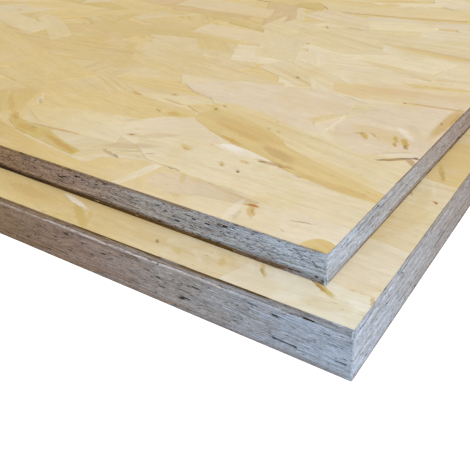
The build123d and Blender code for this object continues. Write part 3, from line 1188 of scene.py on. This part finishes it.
# %% The rows of a side
ROW_PITCH = 0.72 * MM
BAND_HEIGHT = 2.7 * MM
BAND_ROWS = 4
RIM_ROW = BAND_ROWS
WAVE_HEIGHT = 0.62 * MM
LONG_WAVE = 11 * MM
SHORT_WAVE = 4.7 * MM


def rows_of(node):
    """The rows from the scored face to the other: the middle height, the height and the number."""
    thickness = THICKNESS[node]
    plain_rows = round((thickness - BAND_HEIGHT) / ROW_PITCH)
    heights = [BAND_HEIGHT / BAND_ROWS] * BAND_ROWS
    heights += [(thickness - BAND_HEIGHT) / plain_rows] * plain_rows
    rows = []
    from_scored = 0.0
    for number, tall in enumerate(heights):
        middle = from_scored + tall / 2
        rows.append((thickness - middle if node == "lower_panel" else middle, tall, number))
        from_scored += tall
    return rows


def wave(along, height, thickness, phase):
    """How far a row wanders up or down, and not at all at the faces."""
    swell = 0.50 * np.sin(along / LONG_WAVE + phase + height * 330)
    swell += 0.42 * np.sin(along / SHORT_WAVE + 2 * phase + height * 800)
    return WAVE_HEIGHT * swell * np.sin(np.pi * np.clip(height / thickness, 0, 1))


print("Rows:", {node: len(rows_of(node)) for node in THICKNESS})

# %% [markdown]
# Each bar has ten points in front and ten behind. Along its length it has five stations, and its height
# follows the taper. At the sheet's corners bars are cut square instead, with their front edge eased, so
# that two sides meet in one worn arris. The outermost rows keep to the faces. At the top they end just
# below the face, so that the rim of the bars doesn't stand above the strands.

# %% The shape of a bar
BAR_OVERLAP = 0.12 * MM
BAR_RIM = 0.16 * MM
BAR_DEPTH = 0.42 * MM
LEAST_FRONT = 0.03 * MM
ARRIS_DROP = 0.13 * MM
CORNER_EASE = 0.14 * MM
STATIONS = np.array([0.0, 0.12, 0.5, 0.88, 1.0])
TAPER = np.array([0.12, 0.84, 1.0, 0.84, 0.12])
LENS_FACES = (
    [[i, i + 1, 8 - i, 9 - i] for i in range(4)]
    + [[i, (i + 1) % 10, 10 + (i + 1) % 10, 10 + i][::-1] for i in range(10)]
    + [[10 + i, 10 + i + 1, 18 - i, 19 - i][::-1] for i in range(4)]
)
BEGIN_POINTS = [0, 9, 10, 19]
END_POINTS = [4, 5, 14, 15]
TOP_POINTS = [5, 6, 7, 8, 9]
BACK_TOP_POINTS = [15, 16, 17, 18, 19]
BACK_POINTS = slice(10, 20)


def bar_points(begin, end, cut_begin, cut_end, side_length, middle_line, tall, flush, depth):
    """The twenty points of one bar, as along, inward and up."""
    along = begin + STATIONS * (end - begin)
    taper = TAPER.copy()
    taper[:2] = 1 if cut_begin else taper[:2]
    taper[-2:] = 1 if cut_end else taper[-2:]
    half = (tall / 2 + BAR_OVERLAP) * taper
    centre = middle_line(along)
    top, low = centre + half, centre - half
    front_top, front_low = top - BAR_RIM, low + BAR_RIM
    back_top, back_low = top + BAR_RIM, low - BAR_RIM
    if flush > 0:
        front_top[:] = flush - ARRIS_DROP
        back_top[:] = flush - 2 * ARRIS_DROP
    if flush == 0:
        front_low[:] = 0
        back_low[:] = 0
    front_low = np.minimum(front_low, front_top - LEAST_FRONT)
    front_along = along.clip(CORNER_EASE, side_length - CORNER_EASE)
    points = []
    for x, inward, bottom, upper in (
        (front_along, depth, front_low, front_top),
        (along, depth + BAR_DEPTH, back_low, back_top),
    ):
        points.append(np.c_[np.r_[x, x[::-1]], np.full(10, inward), np.r_[bottom, upper[::-1]]])
    return np.concatenate(points)


print("Faces of a bar:", len(LENS_FACES))

# %% [markdown]
# A row is filled with bars from the near corner on. At one of the sheet's voids a bar ends, and the
# next one begins behind it. Elsewhere the next bar's tip mostly overlaps a little, and now and then it
# leaves a gap. The rows at the faces and the rim row get no gaps, because a gap would notch the arris.

# %% The length of a bar and the gap behind it
LONG_BAR = 48 * MM
SHORT_BAR = 22 * MM
SHORTEST_BAR = 0.8 * MM
CLOSE_UP = 0.3
GAPS_FEWER = 0.15


def bar_length(draws, start, typical, number):
    """A bar's length. Bars are shorter near the corner, most of all in the row at the scored face."""
    closer = 1.0 if start > CLOSE_UP else (0.25 if number == 0 else 0.6)
    return typical * closer * (0.4 + 1.2 * draws[0])


def gap_behind(draws, start, length, face_layer, may_open):
    """The gap behind a bar, or less than nothing where the next bar overlaps it."""
    likely = (0.10 if face_layer else 0.22) * (0.5 if start < GAPS_FEWER else 1.0)
    if may_open and draws[7] < likely:
        return (0.8 + 3.2 * draws[6] ** 2) * MM
    return -0.05 * length


print("Bars are about", LONG_BAR / MM, "mm long, and", SHORT_BAR / MM, "mm where only strand ends show")

# %% [markdown]
# The sealer is cool grey and thick by the near corner. Further along it is thinner, so the brown wood
# shows through. Part of this change from cool to brown is painted light, and each side also gets a
# painted light level that changes along it. Each run below gives how far from the corner it is cool,
# grey, taupe and brown, in millimetres, and the painted light level at the corner and 150 mm on. The
# photograph shows the two near sides, and the hidden sides get the same runs.

# %% The sealer's colour along a side
SEALER_AND_LIGHT_RUNS = {
    ("lower_panel", "front"): ((8, 54, 99, 146), 0.96, 0.96),
    ("upper_panel", "front"): ((0, 62, 104, 148), 1.04, 1.25),
    ("lower_panel", "right"): ((-22, 66, 162, 270), 1.08, 0.80),
    ("upper_panel", "right"): ((-25, 60, 135, 220), 1.10, 0.95),
}
SEALER_COLOURS = np.array([SEALER_COOL, SEALER_GREY, SEALER_TAUPE, SEALER_BROWN])
RUN_LENGTH = 150 * MM
LONG_DRIFT = 0.41
SHORT_DRIFT = 0.13


def sealer_at(from_corner, node, long_side, phase):
    """The sealer's colour: cool by the near corner, then grey, then browner as it thins, with painted
    light.
    """
    stops, painted_light_near, painted_light_far = SEALER_AND_LIGHT_RUNS[node, "front" if long_side else "right"]
    reach = from_corner / MM
    colour = np.array([np.interp(reach, stops, SEALER_COLOURS[:, k]) for k in range(3)])
    # more than 150 mm from the corner, the coat gets thicker and thinner by turns
    drift = math.sin(from_corner / SHORT_DRIFT + phase) * math.sin(from_corner / LONG_DRIFT)
    drift = (0.5 + 0.5 * drift) * min(1, max(0, from_corner / RUN_LENGTH - 1))
    colour = colour + (SEALER_GREY - colour) * 0.5 * drift
    # painted light: each side's brightness changes over the first 150 mm from the corner
    return colour * (painted_light_near + (painted_light_far - painted_light_near) * min(1, from_corner / RUN_LENGTH))


print("Sealer runs:", len(SEALER_AND_LIGHT_RUNS))

# %% [markdown]
# Some rows are bare, because the sealer missed them or wore off. On the lower sheet that is a broken
# brown line under the top face. On the upper sheet it is the band that lies on the lower sheet, with
# painted shade that deepens further along, and two worn rows at the top. The share of bare wood grows
# away from the near corner.

# %% Bare wood
LIGHTEST_BARE = BARE_EDGE * 1.5
DARK_BOTTOM_TONE = SEALER_TAUPE * 0.5
BAND_TAN = WOOD["tan"] * 0.62
SHORT_SIDE_SHARE = 0.4


def towards(colours, other, share):
    """Moves the colours towards another by a share, in place."""
    colours += (other - colours) * share


def paint_lower(colours, number, last_row, at, long_side, draws):
    """The lower sheet: a broken brown line at the top, a tan band, and two rows at the bottom made
    darker.
    """
    side_share = 1.0 if long_side else SHORT_SIDE_SHARE
    if number < 2:
        shares = (0.98, 0.60) if draws[8] < 0.60 else (0.40, 0.10)
        share = shares[number] * side_share * min(1, at / (30 * MM))
        towards(colours, BARE_EDGE * (0.45 + 0.60 * draws[5]), share)
    if 0 < number < BAND_ROWS:
        towards(colours, BAND_TAN, (0.10 + 0.22 * min(1, at / (140 * MM))) * side_share)
    # the two bottom rows made darker
    if number >= last_row - 1:
        towards(colours, DARK_BOTTOM_TONE, 0.5 if number == last_row else 0.25)


def paint_upper(colours, number, last_row, at, long_side, draws):
    """The upper sheet: three bare rows at the bottom, with painted shade deeper further along, and two
    worn at the top.
    """
    side_share = 1.0 if long_side else SHORT_SIDE_SHARE
    away = min(1, at / (140 * MM))
    if number < 3:
        # bare wood, with painted shade that deepens further along
        bare = (BARE_EDGE + (BARE_IN_PAINTED_SHADE - BARE_EDGE) * away**2) * (0.75 + 0.5 * draws[5])
        share = (1.0, 0.95, 0.40)[number] if long_side else (0.8, 0.30, 0.10)[number]
        share *= min(1, 0.50 + at / (60 * MM))
        towards(colours, bare, share if draws[8] < 0.9 else 0.6 * share)
    if number == last_row:
        share = 0.80 * min(1, at / (50 * MM)) * (0.5 + 0.5 * draws[8])
        towards(colours, BARE_EDGE * 1.1, share)
    if number == last_row - 1:
        share = 0.55 * min(1, max(0, at / MM - 40) / 40) * side_share
        towards(colours, LIGHTEST_BARE, share * (0.4 + 0.6 * draws[8]))


print("Bare wood is", BARE_EDGE.round(3), "by the corner and", BARE_IN_PAINTED_SHADE.round(3), "further along")

# %% [markdown]
# A bar takes the sealer's colour at its middle, a few bars are darker, and the backs get painted shade,
# so that the voids look deep. The lower sheet's rim beside the band gets a painted highlight. Where a
# bar ends at one of the sheet's corners it has the sealer's colour with a painted highlight, so that
# two sides meet in one light arris.

# %% The colours of a bar
PAINTED_BACK_SHADE = 0.30
DARK_SHARE = 0.12
DARK_BAR = (0.84, 0.81, 0.76)
CORNER_HIGHLIGHT = 1.04


def bar_colours(node, number, last_row, closed, at, long_side, phase, draws, cut_begin, cut_end):
    """A colour for each of a bar's twenty points."""
    colour = sealer_at(at, node, long_side, phase) * (0.90 + 0.20 * draws[3])
    if draws[4] < DARK_SHARE:
        colour = colour * DARK_BAR
    colours = np.tile(colour, (20, 1))
    # painted shade on the backs of bars in rows that may open
    colours[BACK_POINTS] *= 1.0 if closed else PAINTED_BACK_SHADE
    paint = paint_lower if node == "lower_panel" else paint_upper
    paint(colours, number, last_row, at, long_side, draws)
    # painted highlight on the lower sheet's rim row, whose ledge faces up towards the light
    if number == RIM_ROW and node == "lower_panel":
        lit = min(1, max(0.25, (at / MM - 25) / 30)) if long_side else 0.25
        lit *= 0.45 + 0.55 * draws[1]
        colours[TOP_POINTS] += (RIDGE_HIGHLIGHT - colours[TOP_POINTS]) * 0.40 * lit
        colours[BACK_TOP_POINTS] += (RIDGE_HIGHLIGHT - colours[BACK_TOP_POINTS]) * lit
    # painted highlight at the sheet's corners: the ends keep the sealer's colour, a little lighter
    if cut_begin:
        colours[BEGIN_POINTS] = colour * CORNER_HIGHLIGHT
    if cut_end:
        colours[END_POINTS] = colour * CORNER_HIGHLIGHT
    return colours


print("Backs of the bars are", PAINTED_BACK_SHADE, "times as light as their fronts")

# %% [markdown]
# Now the sides are built. Each row starts before the corner by a random length, so that the bars of the
# rows don't line up, and what lies outside the side is cut off.

# %% Build the sawn sides
BAND_SETBACK = 0.35 * MM
MOST_INSET = 0.20 * MM
FLUSH_INSET = 0.04 * MM
FACE_LAYER = 0.25


def lay_row(pile, chance, node, side_length, long_side, phase, row, last_row, voids):
    """Fills one row with bars."""
    height, tall, number = row
    thickness = THICKNESS[node]
    face_layer = min(height, thickness - height) < thickness * FACE_LAYER
    typical = LONG_BAR if face_layer == long_side else SHORT_BAR
    holes = sorted((at, long) for at, up, long in voids if abs(up - height) <= tall / 2)
    flush = thickness if height + tall > thickness else (0 if height < tall else -1)
    closed = flush >= 0 or number == RIM_ROW

    def middle_line(along):
        return height + wave(along, height, thickness, phase)

    start = -chance.random() * typical
    while start < side_length:
        draws = chance.random(9)
        length = bar_length(draws, start, typical, number)
        gap = gap_behind(draws, start, length, face_layer, not closed)
        for at, long in holes:
            if start + 2 * MM < at < start + length:
                length, gap = at - start, long
        begin, end = max(start, 0), min(start + length, side_length)
        cut_begin, cut_end = start <= 0, start + length >= side_length
        start += length + gap
        if end - begin <= SHORTEST_BAR:
            continue
        depth = (MOST_INSET if flush < 0 else FLUSH_INSET) * draws[2]
        depth += BAND_SETBACK if number < BAND_ROWS else 0
        depth = 0 if number == RIM_ROW else depth
        points = bar_points(
            begin, end, cut_begin, cut_end, side_length, middle_line, tall, flush, depth
        )
        at = (begin + end) / 2
        colours = bar_colours(
            node, number, last_row, closed, at, long_side, phase, draws, cut_begin, cut_end
        )
        straight = np.c_[np.zeros(20), middle_line(points[:, 0]) - height]
        grain = points[:, [0, 2]] - straight + (draws[6], draws[7])
        pile.lay(points, LENS_FACES, grain, colours)


def make_side(node, side, seed):
    """One sawn side of one sheet, as one piece."""
    chance = np.random.default_rng(seed)
    long_side = side in ("front", "back")
    side_length = LENGTH if long_side else WIDTH
    phase = chance.random() * 6
    voids = voids_of(node, side, side_length)
    rows = rows_of(node)
    pile = Pile()
    for row in rows:
        lay_row(pile, chance, node, side_length, long_side, phase, row, len(rows) - 1, voids)
    along, inward, up = np.concatenate(pile.points).T
    placed = {
        "front": np.c_[-along, inward, up],
        "right": np.c_[-inward, along, up],
        "back": np.c_[-along, WIDTH - inward, up],
        "left": np.c_[-LENGTH + inward, along, up],
    }
    pile.points = [placed[side]]
    coat = PITTED_EDGE if node == "upper_panel" and long_side else PLAIN_EDGE
    name = f"{node}_{side}_edge"
    pile.make(name, FRAME_OF[node], coat, flip=side in ("front", "left"))


for i, node in enumerate(THICKNESS):
    for j, side in enumerate(("front", "right", "back", "left")):
        make_side(node, side, 100 + 10 * i + j)
